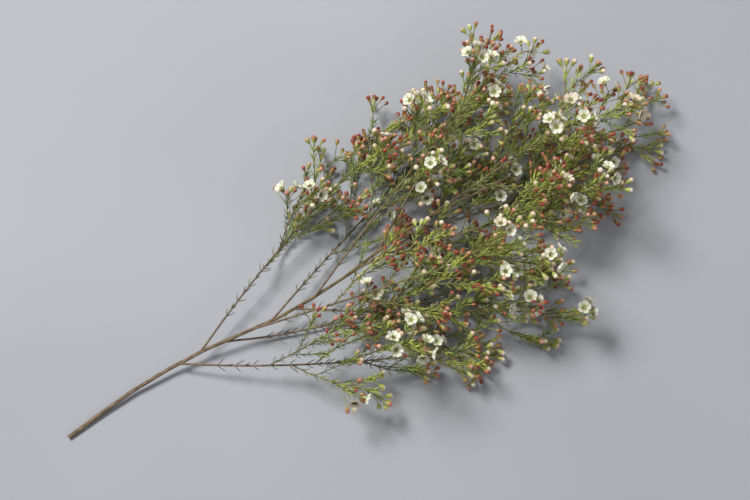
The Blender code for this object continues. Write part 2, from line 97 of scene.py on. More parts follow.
# The side sprays: where the lowest and highest leave the stem, and how they grow
SIDE_SPRAYS = 12
LOWEST_SPRAY = 0.135
HIGHEST_SPRAY = 0.415
FIRST_AZIMUTH = 0.35
LOW_SPRAY_LENGTH = 0.305
HIGH_SPRAY_LENGTH = 0.215
LEADER_LENGTH = 0.204
LEADER_SPANS = 7
LOW_SPRAY_ANGLE = math.radians(34)
HIGH_SPRAY_ANGLE = math.radians(29)
FLATTENING = 0.5  # of the crown, as it lies
SPRAY_RADIUS = 1.15 * MM
TWIG_RADIUS = 0.62 * MM
TIP_RADIUS = 0.45 * MM
SPAN = 33 * MM  # the longest straight run of a twig
TURN_UP_STEM = 0.4  # how far a shoot turns to the stem's direction over its length
BEND_UP_BELOW = 6 * MM  # a shoot nearer the table than this bends away from it
TABLE_GAP = 2 * MM

# Twigs on a spray and twiglets on a twig: bare share of the parent, spacing, longest, shortest
BARE_OF_LEADER = 0.1
BARE_OF_SPRAY = 0.3
TWIGS = (25 * MM, 95 * MM, 40 * MM)
BARE_OF_TWIG = 0.3
TWIGLETS = (12.5 * MM, 42 * MM, 20 * MM)
LAST_SIDE_SHOOT = 0.92  # of the parent's length
SIDE_SHOOT_ANGLE = (math.radians(34), math.radians(46))
SIDE_SHOOT_TRIES = 8
THINNER_THAN_PARENT = 0.8
SAME_STAGE = 0.75  # of the twiglets are as far in flower as their twig

# Gaps between the solids
SEAT_GAP = 0.3 * MM
NODE_GAP = 0.6 * MM
PETAL_GAP = 0.5 * MM
NEEDLE_GAP = 0.35 * MM
STALK_GAP = 2 * MM  # from a flower's stalk to the middle of the twigs that it passes
KNOB_CLEAR = 2.2 * MM  # from the foot of a flower's stalk to where it has left the knob

# Flowers, buds and needles
HEADS_ON_SPRAY = (4, 3)  # in turn, up the stem
FLOWERS_IN_HEAD = (2, 2, 3)  # one of these by chance
KNOB_RADIUS = 0.7 * MM  # of the swelling that a head's stalks spread from
FLOWER_TRIES = 24
UPTURN = 0.55  # how far the flowers turn up, to the light
FLOWER_RADIUS = (6.3 * MM, 7.1 * MM)
PETALS = 5
PETAL_THICKNESS = 0.75 * MM
PETAL_ROOM = 1.0 * MM  # kept free on each side of a petal's middle
CUP = 0.42  # rise of a petal's tip over a flower's radius
CALYX_LENGTH = 4.0 * MM
CALYX_RADIUS = 1.7 * MM
STALK_RADIUS = 0.42 * MM
STALK_LENGTH = (4.5 * MM, 8.5 * MM)
HEAD_SPACING = 27 * MM
EXPOSURE = 25 * MM  # how much lower than the highest a twig may end and still be the next to flower
COVER = (18 * MM, 8 * MM)  # how near a tip overhead is a cover, and how much lower one counts
STAGES = ("red", "mixed", "open")
BUD_STAGES = {
    "red": ("red", "red", "red", "pink"),
    "mixed": ("red", "pink", "white"),
    "open": ("pink", "white", "white"),
}
BALL_RADIUS = {
    "red": (1.7 * MM, 2.2 * MM),
    "pink": (1.95 * MM, 2.45 * MM),
    "white": (2.3 * MM, 2.9 * MM),
}
LEAFY_TIPS = 0.12  # of the shoots end in leaves alone
BUDS_ON_TIP = {"red": (6, 7, 8), "mixed": (5, 6, 7), "open": (4, 5, 6)}
BUDS_CLEAR_OF_HEAD = 3  # the places next to a head of flowers that hold no bud
BUD_SPACING = 1.7 * MM
BUD_STALK = (2.2 * MM, 4.0 * MM)
CUP_OF_BUD = (1.7, 2.1)  # length of a bud's cup over the radius of its ball
BUD_LEAN = (8, 46)  # degrees, for each place down from the tip and at most
BUD_TRIES = 6

# Needles: bare length of the shoot, spacing of the pairs, usual length
SPRAY_NEEDLES = (9 * MM, 10 * MM)
TWIG_NEEDLES = (5 * MM, 5.5 * MM, 7.6 * MM)
BARE_OF_NEEDLES = 0.12  # of a spray's main shoot
NEEDLE_ANGLE = (30, 48)
NEEDLE_RADIUS = 0.6 * MM


def smooth_route(knots, per_span):
    """Points of a Catmull-Rom curve through the knots."""
    knots = [Vector(knot) for knot in knots]
    knots = [2 * knots[0] - knots[1], *knots, 2 * knots[-1] - knots[-2]]
    points = []
    for a, b, c, d in zip(knots, knots[1:], knots[2:], knots[3:]):
        for i in range(per_span):
            t = i / per_span
            bend = (c - a) * t + (2 * a - 5 * b + 4 * c - d) * t**2 + (3 * b - a - 3 * c + d) * t**3
            points.append(b + bend / 2)
    return [*points, knots[-2]]


def across(direction, azimuth):
    """A unit vector square to direction, turned about it by azimuth."""
    side = direction.cross(UP)
    if side.length < 0.1:
        side = direction.cross(TOWARDS_TIP)
    return Matrix.Rotation(azimuth, 3, direction) @ side.normalized()


def leaning(direction, azimuth, angle):
    """direction, a unit vector, tipped over by angle towards azimuth."""
    return math.cos(angle) * direction + math.sin(angle) * across(direction, azimuth)


class Shoot:
    """A length of axis as a chain of points, tapering from its foot to its tip."""

    def __init__(self, points, foot_radius, tip_radius, level=0, stage="red"):
        self.points = points
        self.foot_radius = foot_radius
        self.tip_radius = tip_radius
        self.level = level
        self.stage = stage
        self.marks = [0.0]
        for a, b in zip(points, points[1:]):
            self.marks.append(self.marks[-1] + (b - a).length)
        self.length = self.marks[-1]

    def at(self, share):
        """The point and the direction at this share of the length."""
        reach = share * self.length
        i = 0
        while i < len(self.points) - 2 and self.marks[i + 1] < reach:
            i += 1
        a, b = self.points[i], self.points[i + 1]
        t = (reach - self.marks[i]) / (self.marks[i + 1] - self.marks[i])
        return a.lerp(b, t), (b - a).normalized()

    def radius(self, share):
        return self.foot_radius + (self.tip_radius - self.foot_radius) * share

    def spans(self):
        return zip(self.points, self.points[1:])


class Spray:
    """A side branch and all that grows on it."""

    def __init__(self, name):
        self.name = name
        self.rng = random.Random(f"{SEED} {name}")
        self.shoots = []
        self.heads = []
        self.buds = []
        self.needles = []


def span_gap(p, q, a, b):
    """The distance between the straight spans p-q and a-b."""
    u, v, w = q - p, b - a, p - a
    uu, uv, vv, uw, vw = u.dot(u), u.dot(v), v.dot(v), u.dot(w), v.dot(w)
    area = uu * vv - uv * uv
    s = 0.0 if area < 1e-18 else min(max((uv * vw - vv * uw) / area, 0.0), 1.0)
    t = min(max((uv * s + vw) / max(vv, 1e-18), 0.0), 1.0)
    s = min(max((uv * t - uw) / max(uu, 1e-18), 0.0), 1.0)
    return (w + u * s - v * t).length


class Space:
    """The room that is taken, as round-ended rods in a grid, each with the node it belongs to."""

    CELL = 12 * MM

    def __init__(self):
        self.cells = {}

    def keys(self, p, q, reach):
        ranges = []
        for a, b in zip(p, q):
            first = math.floor((min(a, b) - reach) / self.CELL)
            last = math.floor((max(a, b) + reach) / self.CELL)
            ranges.append(range(first, last + 1))
        return [(i, j, k) for i in ranges[0] for j in ranges[1] for k in ranges[2]]

    def take(self, owner, p, q, radius):
        for key in self.keys(p, q, radius):
            self.cells.setdefault(key, []).append((owner, p, q, radius))

    def take_shoot(self, owner, shoot):
        for i, (a, b) in enumerate(shoot.spans()):
            self.take(owner, a, b, shoot.radius(i / (len(shoot.points) - 1)))

    def free(self, owner, p, q, radius, gap):
        """Whether a rod keeps this gap to all that doesn't belong to owner."""
        for key in self.keys(p, q, radius + gap):
            for other, a, b, thick in self.cells.get(key, ()):
                if other != owner and span_gap(p, q, a, b) < radius + thick + gap:
                    return False
        return True

    def free_route(self, owner, points, radius):
        """Whether a shoot along these points is clear of the table and of the other nodes."""
        return all(
            min(a.z, b.z) > radius + TABLE_GAP and self.free(owner, a, b, radius, NODE_GAP)
            for a, b in zip(points, points[1:])
        )


def grow(start, heading, length, spans, sway):
    """Points of a shoot that turns slowly up the stem and bends away from the table."""
    step = length / spans
    points = [start]
    direction = heading.normalized()
    for _ in range(spans):
        direction = direction + (TOWARDS_TIP * TURN_UP_STEM + sway) / spans
        direction.normalize()
        dip = BEND_UP_BELOW - (points[-1] + direction * step).z
        if dip > 0:
            direction = (direction + UP * dip / step).normalized()
        points.append(points[-1] + direction * step)
    return points


def plan_main_shoots(stem, space):
    """The main shoot of each side spray, in a spiral up the stem, and of the leading spray."""
    sprays = []
    for i in range(SIDE_SPRAYS):
        spray = Spray(f"spray_{i + 1:02d}")
        rng = spray.rng
        rise = i / (SIDE_SPRAYS - 1)
        share = (LOWEST_SPRAY + (HIGHEST_SPRAY - LOWEST_SPRAY) * rise) / stem.length
        foot, along = stem.at(share)
        azimuth = i * SPIRAL + FIRST_AZIMUTH
        radial = across(along, -azimuth)
        spread = Vector((radial.x, radial.y, radial.z * FLATTENING))
        angle = LOW_SPRAY_ANGLE + (HIGH_SPRAY_ANGLE - LOW_SPRAY_ANGLE) * rise
        angle += math.radians(rng.uniform(-3, 3))
        length = LOW_SPRAY_LENGTH + (HIGH_SPRAY_LENGTH - LOW_SPRAY_LENGTH) * rise
        length *= rng.uniform(0.94, 1.06)
        heading = math.cos(angle) * along + math.sin(angle) * spread
        start = foot + radial * (stem.radius(share) + SEAT_GAP + SPRAY_RADIUS * math.cos(angle))
        sway = Vector((rng.uniform(-0.12, 0.12), 0, rng.uniform(-0.35, -0.1)))
        points = grow(start, heading, length, round(length / SPAN), sway)
        spray.shoots.append(Shoot(points, SPRAY_RADIUS, TWIG_RADIUS, 1))
        sprays.append(spray)
    leader = Spray("leading_spray")
    top, along = stem.at(1.0)
    points = grow(top + along * SEAT_GAP, along, LEADER_LENGTH, LEADER_SPANS, Vector((0.05, 0, -0.32)))
    leader.shoots.append(Shoot(points, STEM_TOP_RADIUS, TWIG_RADIUS, 1))
    sprays.append(leader)
    for spray in sprays:
        space.take_shoot(spray.name, spray.shoots[0])
    return sprays


def plan_side_shoots(space, spray, parent, first, spacing, longest, shortest):
    """Shoots in a spiral along their parent, shorter towards its tip, each clear of the other sprays."""
    rng = spray.rng
    reach = first
    turn = rng.uniform(0, math.tau)
    while reach < parent.length * LAST_SIDE_SHOOT:
        share = reach / parent.length
        foot, along = parent.at(share)
        usual = longest + (shortest - longest) * (reach - first) / (parent.length - first)
        for _ in range(SIDE_SHOOT_TRIES):
            heading = leaning(along, turn + rng.uniform(-0.5, 0.5), rng.uniform(*SIDE_SHOOT_ANGLE))
            sway = Vector((rng.uniform(-0.15, 0.15), 0, rng.uniform(-0.2, 0.1)))
            length = usual * rng.uniform(0.82, 1.15)
            points = grow(foot, heading, length, max(1, round(length / SPAN)), sway)
            radius = min(parent.radius(share) * THINNER_THAN_PARENT, TWIG_RADIUS)
            if space.free_route(spray.name, points, radius):
                level = parent.level + 1
                stage = rng.choice(STAGES)
                if level == 3 and rng.random() < SAME_STAGE:
                    stage = parent.stage
                shoot = Shoot(points, radius, TIP_RADIUS, level, stage)
                spray.shoots.append(shoot)
                space.take_shoot(spray.name, shoot)
                break
            turn += 0.9
        turn += SPIRAL
        reach += spacing * rng.uniform(0.85, 1.15)


def petal_spokes(flower, count=15):
    """Rods that fill a flower's cup, from near its middle to near its rim."""
    spokes = []
    for i in range(count):
        out = across(flower["axis"], flower["roll"] + i * math.tau / count)
        inner, outer = (
            flower["centre"] + flower["radius"] * (share * out + CUP * share**2 * flower["axis"])
            for share in (0.3, 0.86)
        )
        spokes.append((inner, outer))
    return spokes


def plan_flower(space, spray, shoot, foot, along, turn, spread):
    """An open flower on its stalk, which starts at foot, or nothing where there is no room."""
    rng = spray.rng
    for _ in range(FLOWER_TRIES):
        out = across(along, turn + rng.uniform(-0.9, 0.9))
        axis = along * rng.uniform(0.45, 0.85) + out * rng.uniform(0.3, 0.5) * spread + UP * UPTURN
        axis.normalize()
        stalk = rng.uniform(*STALK_LENGTH)
        throat = foot + axis * stalk
        mouth = throat + axis * CALYX_LENGTH
        flower = {
            "foot": foot,
            "axis": axis,
            "stalk": stalk,
            "radius": rng.uniform(*FLOWER_RADIUS),
            "roll": rng.uniform(0, math.tau),
            "centre": mouth + axis * PETAL_THICKNESS,
        }
        spokes = petal_spokes(flower)
        others = [other for other in spray.shoots if other is not shoot]
        if (
            min(min(a.z, b.z) for a, b in spokes) > PETAL_ROOM + PETAL_GAP
            and all(span_gap(foot, throat, *span) > STALK_GAP for other in others for span in other.spans())
            and space.free(None, foot + axis * KNOB_CLEAR, throat, STALK_RADIUS, SEAT_GAP)
            and space.free(None, throat, mouth, CALYX_RADIUS, SEAT_GAP)
            and all(space.free(None, a, b, PETAL_ROOM, PETAL_GAP) for a, b in spokes)
        ):
            for a, b in spokes:
                space.take("flowers", a, b, PETAL_ROOM)
            space.take("flowers", foot, throat, STALK_RADIUS)
            space.take("flowers", throat, mouth, CALYX_RADIUS)
            return flower
    return None


def plan_heads(space, sprays):
    """Each spray's heads of one to three open flowers, at tips that stand high and in the open."""
    tips = [shoot.points[-1] for spray in sprays for shoot in spray.shoots]
    near, lower = COVER
    feet = []
    for i, spray in enumerate(sprays):
        rng = spray.rng
        quota = HEADS_ON_SPRAY[i % len(HEADS_ON_SPRAY)]
        openness = {}
        for shoot in spray.shoots:
            tip = shoot.points[-1]
            covers = sum(other.z > tip.z and (other - tip).xy.length < near for other in tips)
            openness[shoot] = tip.z - covers * lower + rng.uniform(0, EXPOSURE)
        sites = sorted(spray.shoots, key=openness.get, reverse=True)
        sites.sort(key=lambda shoot: shoot.stage == "red")
        for shoot in sites:
            if len(spray.heads) == quota:
                break
            tip, along = shoot.at(1)
            foot = tip + along * (SEAT_GAP + KNOB_RADIUS)
            if any((foot - other).length < HEAD_SPACING for other in feet):
                continue
            flowers = []
            count = rng.choice(FLOWERS_IN_HEAD)
            turn = rng.uniform(0, math.tau)
            for rank in range(count):
                flower = plan_flower(space, spray, shoot, foot, along, turn + rank * math.tau / count, count)
                if flower:
                    flowers.append(flower)
            if flowers:
                spray.heads.append({"shoot": shoot, "foot": foot, "along": along, "flowers": flowers})
                feet.append(foot)


def plan_buds(space, spray, shoot):
    """A loose flat-topped head of closed buds round the tip of a shoot; a few shoots end in leaves alone."""
    rng = spray.rng
    if rng.random() < LEAFY_TIPS:
        return
    turn = rng.uniform(0, math.tau)
    first = BUDS_CLEAR_OF_HEAD if any(head["shoot"] is shoot for head in spray.heads) else 0
    each, most = BUD_LEAN
    for rank in range(first, first + rng.choice(BUDS_ON_TIP[shoot.stage])):
        stage = rng.choice(BUD_STAGES[shoot.stage])
        ball = rng.uniform(*BALL_RADIUS[stage])
        calyx = ball * rng.uniform(*CUP_OF_BUD)
        back = rank * BUD_SPACING
        foot, along = shoot.at(1 - back / shoot.length)
        for _ in range(BUD_TRIES):
            turn += SPIRAL
            lean = math.radians(min(each * (rank + 1), most) + rng.uniform(-4, 6)) if rank else 0.0
            stalk = (rng.uniform(*BUD_STALK) + back * 0.8) / math.cos(lean)
            axis = leaning(along, turn, lean)
            throat = foot + axis * stalk
            centre = throat + axis * (calyx + ball / 2)
            waist = centre - axis * calyx / 2
            if (
                centre.z > ball
                and space.free(spray.name, foot, throat, STALK_RADIUS, NODE_GAP)
                and space.free(None, waist, centre, ball, NEEDLE_GAP)
            ):
                bud = {"foot": foot, "axis": axis, "stalk": stalk, "calyx": calyx, "ball": ball}
                bud["stage"] = stage
                spray.buds.append(bud)
                space.take(spray.name, foot, throat, STALK_RADIUS)
                space.take(f"buds of {spray.name}", waist, centre, ball)
                break


def plan_needles(space, spray, shoot, first, spacing, usual):
    """Needle leaves in pairs, each pair square to the last, that stand clear of flowers and other sprays."""
    rng = spray.rng
    reach = first
    turn = rng.uniform(0, math.tau)
    while reach < shoot.length - 0.5 * MM:
        share = reach / shoot.length
        foot, along = shoot.at(share)
        for side in (0, math.pi):
            length = usual * rng.uniform(0.78, 1.15)
            angle = math.radians(rng.uniform(*NEEDLE_ANGLE) - 10 * share)
            heading = leaning(along, turn + side + rng.uniform(-0.25, 0.25), angle)
            tip = foot + heading * length
            start = foot + heading * shoot.radius(share)
            if (
                tip.z > NEEDLE_RADIUS
                and space.free(spray.name, foot, tip, NEEDLE_RADIUS, NEEDLE_GAP)
            ):
                needle = {"foot": foot, "heading": heading, "length": length, "shoot": shoot, "share": share}
                spray.needles.append(needle)
                space.take(spray.name, start, tip, NEEDLE_RADIUS)
        turn += math.pi / 2 + rng.uniform(-0.2, 0.2)
        reach += spacing * rng.uniform(0.85, 1.15)


def plan_stem():
    """The whole plant as chains of points and lists of what they carry."""
    space = Space()
    stem = Shoot(smooth_route(STEM_ROUTE, 2), CUT_RADIUS, STEM_TOP_RADIUS)
    space.take_shoot("main_stem", stem)
    sprays = plan_main_shoots(stem, space)
    for spray in sprays:
        main = spray.shoots[0]
        bare = BARE_OF_LEADER if spray.name == "leading_spray" else BARE_OF_SPRAY
        plan_side_shoots(space, spray, main, bare * main.length, *TWIGS)
    for spray in sprays:
        for twig in spray.shoots[1:]:
            plan_side_shoots(space, spray, twig, BARE_OF_TWIG * twig.length, *TWIGLETS)
    plan_heads(space, sprays)
    for spray in sprays:
        for shoot in spray.shoots:
            plan_buds(space, spray, shoot)
    for spray in sprays:
        for shoot in spray.shoots:
            if shoot.level == 1:
                plan_needles(space, spray, shoot, BARE_OF_NEEDLES * shoot.length, *SPRAY_NEEDLES)
            else:
                plan_needles(space, spray, shoot, *TWIG_NEEDLES)
    return stem, sprays, space


# The bark of the woody stem
BARK_STEPS = 230  # along the stem
BARK_SIDES = 26
BARK_RELIEF = ((0.05, 2.6, 7 * MM), (0.03, 6, 2.5 * MM))  # share of the radius, fineness round, length
SCARS = 70  # of fallen needles
SCAR_SWELL = 0.09  # of the radius
SCAR_LENGTH = 1.3 * MM  # from its middle
SCAR_TURN = 0.4  # round the stem, from its middle
CUT_RINGS = (0.86, 0.82, 0.45, 0.16)  # shares of the cut end's radius

# Twigs, by level: main shoot, twig and twiglet
TWIG_SIDES = {1: 9, 2: 7, 3: 6}
TWIG_RINGS = {1: 10, 2: 8, 3: 8}  # in each span
TWIG_AGE = {1: 0.85, 2: 0.5, 3: 0.3}
KNUCKLES = (0.92, 1.06)  # the girth of each ring, in turn
SWOLLEN_FOOT = 4 * MM
ROOT_STEP = 0.5 * MM
ROOT_STEPS = 20  # the most that a main shoot reaches back into the stem
ROOT_HIDDEN = 0.55  # of that reach lies inside the stem

# Young needles on the outer part of a shoot: bare share of it, spacing of the pairs, usual length
MAIN_TUFT = (0.5, 7 * MM, 10 * MM)
TWIG_TUFT = (0.6, 3.4 * MM, 8 * MM)
NEEDLE_GIRTH = 0.58 * MM  # from a needle's middle to each of its three ridges

# Petals, bowl and stamens; the widths are shares of a flower's radius
PETAL_SHEET = 0.32 * MM
PETAL_ROWS = 7
PETAL_COLUMNS = 6
PETAL_WIDEST = 0.6  # of the way from its foot
HALF_CLAW = 0.15
HALF_BLADE = 0.43
BOWL_SHARE = 0.34
CLAW_START = BOWL_SHARE * 0.86  # under the bowl's rim
SPOON = 1.5  # how fast a petal turns up on both sides of its middle
RIPPLE = 0.02
STAMENS = 10

# The cups under buds and flowers: five sepals with notches between them, each one's lift and reach
CUP_SIDES = 2 * PETALS
SEPAL = (0.75 * MM, 1.12)
NOTCH = (0.1 * MM, 1.0)

# Buds: their range of ripeness, the redness of their cups, and the angle from the tip where a ball begins
RIPENESS = {"red": (0.0, 0.3), "pink": (0.35, 0.62), "white": (0.75, 1.0)}
REDNESS = {"red": 0.95, "pink": 0.62, "white": 0.15}
BALL_FOOT = 2.2
BUD_TWIST = 0.8  # of the petals, from the foot to the tip


def crossed(direction):
    """Two unit vectors square to direction and to each other, so that all three turn to the right."""
    side = across(direction, 0.0)
    return side, direction.cross(side)


def around(sides, angle):
    """The unit vector at this angle in the plane of two cross directions."""
    return math.cos(angle) * sides[0] + math.sin(angle) * sides[1]


class Skin:
    """The surface of one piece, gathered item by item.

    Each point has a mark: a tone, which is one per item, its share of the way along the item, and an
    age from 0, young, to 1, old. That is a bud's ripeness and the redness of a cup. Its grain is where
    it lies round and along the item.
    """

    def __init__(self):
        self.points = []
        self.faces = []
        self.finishes = []
        self.rounded = []
        self.marks = []
        self.grains = []

    def place(self, point, mark, grain=None):
        self.points.append(point)
        self.marks.append(mark)
        self.grains.append(grain or point)
        return len(self.points) - 1

    def face(self, corners, finish=0, rounded=True):
        self.faces.append(corners)
        self.finishes.append(finish)
        self.rounded.append(rounded)

    def loft(self, rings, finish=0, closed=True):
        """Faces between rings of placed points, and over both ends; a ring of one point is a tip."""
        for low, high in zip(rings, rings[1:]):
            sides = max(len(low), len(high))
            for i in range(sides):
                j = (i + 1) % sides
                if len(high) == 1:
                    self.face((low[i], low[j], high[0]), finish)
                elif len(low) == 1:
                    self.face((low[0], high[j], high[i]), finish)
                else:
                    self.face((low[i], low[j], high[j], high[i]), finish)
        if closed:
            self.face(tuple(reversed(rings[0])), finish, rounded=False)
            if len(rings[-1]) > 1:
                self.face(tuple(rings[-1]), finish, rounded=False)

    def ring(self, centre, sides, radii, mark, along=0.0, turn=0.0):
        """Placed points round centre; sides are its two cross directions, radii gives each point's reach."""
        placed = []
        count = len(radii)
        for i, radius in enumerate(radii):
            angle = turn + i * math.tau / count
            grain = Vector((radius * math.cos(angle), radius * math.sin(angle), along))
            placed.append(self.place(centre + radius * around(sides, angle), mark, grain))
        return placed

    def piece(self, name, materials, slot, node):
        """The gathered surface as an object that rides on the part and stands for the node."""
        low, high = solids_box
        kept = [
            tuple(min(max(value, least), most) for value, least, most in zip(point, low, high))
            for point in self.points
        ]
        mesh = bpy.data.meshes.new(name)
        mesh.from_pydata(kept, [], self.faces)
        mesh.polygons.foreach_set("use_smooth", self.rounded)
        for material in materials:
            mesh.materials.append(material)
        mesh.polygons.foreach_set("material_index", self.finishes)
        growth = mesh.attributes.new("growth", "FLOAT_COLOR", "POINT")
        growth.data.foreach_set("color", [value for mark in self.marks for value in (*mark, 1.0)])
        grain = mesh.attributes.new("grain", "FLOAT_VECTOR", "POINT")
        grain.data.foreach_set("vector", [value for vector in self.grains for value in vector])
        mesh.update()
        thing = bpy.data.objects.new(name, mesh)
        bpy.context.scene.collection.objects.link(thing)
        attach(thing, "root")
        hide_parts(node)


def carried(points):
    """The cross directions at each point of a chain, carried along it without twist."""
    frames = []
    side = None
    for i in range(len(points)):
        along = (points[min(i + 1, len(points) - 1)] - points[max(i - 1, 0)]).normalized()
        if side is None:
            side = across(along, 0.0)
        side = (side - along * side.dot(along)).normalized()
        frames.append((side, along.cross(side)))
    return frames


def twig_skin(skin, shoot, buried, tone, age):
    """The bark of a shoot: a fine tube with slight knuckles, swollen where it leaves its parent.

    It starts buried this far back from its foot, straight on, and widens until it is out of the parent.
    """
    foot, way = shoot.at(0)
    hidden = ROOT_HIDDEN * buried
    root = [foot - way * buried] if buried else []
    points = smooth_route([*root, *shoot.points], TWIG_RINGS[shoot.level])
    frames = carried(points)
    total = sum((b - a).length for a, b in zip(points, points[1:]))
    reach = 0.0
    rings = []
    for i, (point, frame) in enumerate(zip(points, frames)):
        share = reach / total
        radius = shoot.radius(share) * KNUCKLES[i % 2]
        if reach < hidden:
            radius *= 0.35 + 0.85 * reach / hidden
        elif reach < hidden + SWOLLEN_FOOT:
            radius *= 1.2 - 0.2 * (reach - hidden) / SWOLLEN_FOOT
        mark = (tone, share, age * (1 - 0.45 * share))
        rings.append(skin.ring(point, frame, [radius] * TWIG_SIDES[shoot.level], mark, reach))
        if i < len(points) - 1:
            reach += (points[i + 1] - point).length
    end = points[-1] + (points[-1] - points[-2]).normalized() * 0.5 * MM
    rings.append([skin.place(end, (tone, 1, age * 0.5))])
    skin.loft(rings)


def needle_skin(skin, needle, rng, age):
    """A needle leaf: three-sided, narrow at its foot, bowed towards the shoot's tip, hooked at the end."""
    heading, length = needle["heading"], needle["length"]
    shoot_way = needle["shoot"].at(needle["share"])[1]
    inward = shoot_way - heading * shoot_way.dot(heading)
    inward = inward.normalized() if inward.length > 0.05 else across(heading, 0.0)
    sides = (inward, heading.cross(inward))
    bow = rng.uniform(0.05, 0.16) * length
    tone = rng.random()
    rings = []
    for share, width in ((0.0, 0.45), (0.3, 0.95), (0.72, 0.9), (0.94, 0.45)):
        centre = needle["foot"] + heading * length * share + inward * bow * (share**2 - share)
        if share > 0.9:
            centre += inward * 0.18 * MM
        ridges = [width * NEEDLE_GIRTH] * 3
        rings.append(skin.ring(centre, sides, ridges, (tone, share, age), share * length, math.pi))
    tip = needle["foot"] + heading * length + inward * 0.3 * MM
    rings.append([skin.place(tip, (tone, 1, age))])
    skin.loft(rings)


def cup_skin(skin, item, mouth, depth, tone, redness, finish=0):
    """The stalk and the ribbed calyx tube of a bud or a flower, which ends in five small round sepals."""
    foot, axis, stalk = item["foot"], item["axis"], item["stalk"]
    sides = crossed(axis)
    rings = []
    shape = (
        (-0.2 * MM, STALK_RADIUS * 0.8, 0),
        (stalk, STALK_RADIUS, 0.01),
        (stalk + depth * 0.4, STALK_RADIUS + (mouth - STALK_RADIUS) * 0.6, 0.06),
        (stalk + depth, mouth, 0.04),
    )
    for height, radius, rib in shape:
        share = max(0.0, (height - stalk) / depth)
        radii = [radius * (1 + (rib if i % 2 else -rib)) for i in range(CUP_SIDES)]
        rings.append(skin.ring(foot + axis * height, sides, radii, (tone, share, redness), height))
    lobes = []
    for i in range(CUP_SIDES):
        lift, reach = SEPAL if i % 2 else NOTCH
        tip = foot + axis * (stalk + depth + lift) + around(sides, i * math.tau / CUP_SIDES) * mouth * reach
        lobes.append(skin.place(tip, (tone, 1.0, redness), Vector((0, 0, stalk + depth))))
    rings.append(lobes)
    lip = foot + axis * (stalk + depth * 0.9)
    rings.append(skin.ring(lip, sides, [mouth * 0.8] * CUP_SIDES, (tone, 0.8, redness)))
    skin.loft(rings, finish)


def bud_skin(skin, bud, rng):
    """A closed bud: five waxy petals folded over each other round a ball."""
    ripe = rng.uniform(*RIPENESS[bud["stage"]])
    ball, axis = bud["ball"], bud["axis"]
    sides = crossed(axis)
    centre = bud["foot"] + axis * (bud["stalk"] + bud["calyx"] + ball * 0.35)
    turn = rng.uniform(0, math.tau)
    tone = rng.random()
    rings = []
    for polar, fold in ((BALL_FOOT, 0.0), (1.5, 0.05), (0.95, 0.09), (0.45, 0.1)):
        share = 1 - polar / BALL_FOOT
        ring = []
        for i in range(3 * PETALS):
            angle = i * math.tau / (3 * PETALS)
            # Each petal's trailing edge lies under the next petal, which stands a little proud
            radius = ball * math.sin(polar) * (1 - fold, 1 + 0.35 * fold, 1)[i % 3]
            out = around(sides, turn + angle + BUD_TWIST * share)
            place = centre + axis * ball * math.cos(polar) + radius * out
            grain = Vector((math.cos(angle), math.sin(angle), share))
            ring.append(skin.place(place, (tone, share, ripe), grain))
        rings.append(ring)
    rings.append([skin.place(centre + axis * ball, (tone, 1.0, ripe), Vector((0, 0, 1)))])
    skin.loft(rings)


def petal_point(flower, sides, petal, row, column):
    """A point of a petal's upper face: row runs from its narrow foot to its round tip, column across it."""
    share = row / PETAL_ROWS
    # The half width: a narrow claw, then a nearly round blade that is widest past its middle
    past = share - PETAL_WIDEST
    if past > 0:
        half = HALF_BLADE * math.sqrt(max(0.0, 1 - (past / HALF_BLADE) ** 2))
    else:
        half = HALF_CLAW + (HALF_BLADE - HALF_CLAW) * math.sqrt(max(0.0, 1 - (past / PETAL_WIDEST) ** 2))
    span = 2 * column / PETAL_COLUMNS - 1
    out = CLAW_START + (petal["reach"] - CLAW_START) * share
    aside = span * half * petal["width"]
    reach = math.hypot(out, aside)
    lift = CUP * reach**2 + petal["cupping"] * SPOON * aside**2
    lift += petal["curl"] * share**3 + RIPPLE * math.sin(4.1 * span + petal["wave"]) * share
    angle = petal["angle"]
    c, s = math.cos(angle), math.sin(angle)
    flat = (out * c - aside * s) * sides[0] + (out * s + aside * c) * sides[1]
    return flower["centre"] + flower["radius"] * (flat + lift * flower["axis"])


def petal_skin(skin, flower, sides, petal, tone):
    """One petal as a thin closed sheet, spoon-shaped, its rim a little upturned."""
    grid = []
    for row in range(PETAL_ROWS + 1):
        grid.append([petal_point(flower, sides, petal, row, column) for column in range(PETAL_COLUMNS + 1)])
    layers = []
    for drop in (0.0, PETAL_SHEET):
        layer = []
        for row, line in enumerate(grid):
            placed = []
            for column, point in enumerate(line):
                rim = row in (0, PETAL_ROWS) or column in (0, PETAL_COLUMNS)
                thin = drop * (0.55 if rim else 1.0)
                share = row / PETAL_ROWS
                grain = Vector((column / PETAL_COLUMNS - 0.5, share, petal["wave"]))
                placed.append(skin.place(point - flower["axis"] * thin, (tone, share, 0.0), grain))
            layer.append(placed)
        layers.append(layer)
    top, under = layers
    for i in range(PETAL_ROWS):
        for j in range(PETAL_COLUMNS):
            skin.face((top[i][j], top[i + 1][j], top[i + 1][j + 1], top[i][j + 1]))
            skin.face((under[i][j + 1], under[i + 1][j + 1], under[i + 1][j], under[i][j]))
    border = [top[0][j] for j in range(PETAL_COLUMNS)]
    border += [top[i][PETAL_COLUMNS] for i in range(PETAL_ROWS)]
    border += [top[PETAL_ROWS][j] for j in range(PETAL_COLUMNS, 0, -1)]
    border += [top[i][0] for i in range(PETAL_ROWS, 0, -1)]
    step = under[0][0] - top[0][0]
    for a, b in zip(border, border[1:] + border[:1]):
        skin.face((a, b, b + step, a + step))


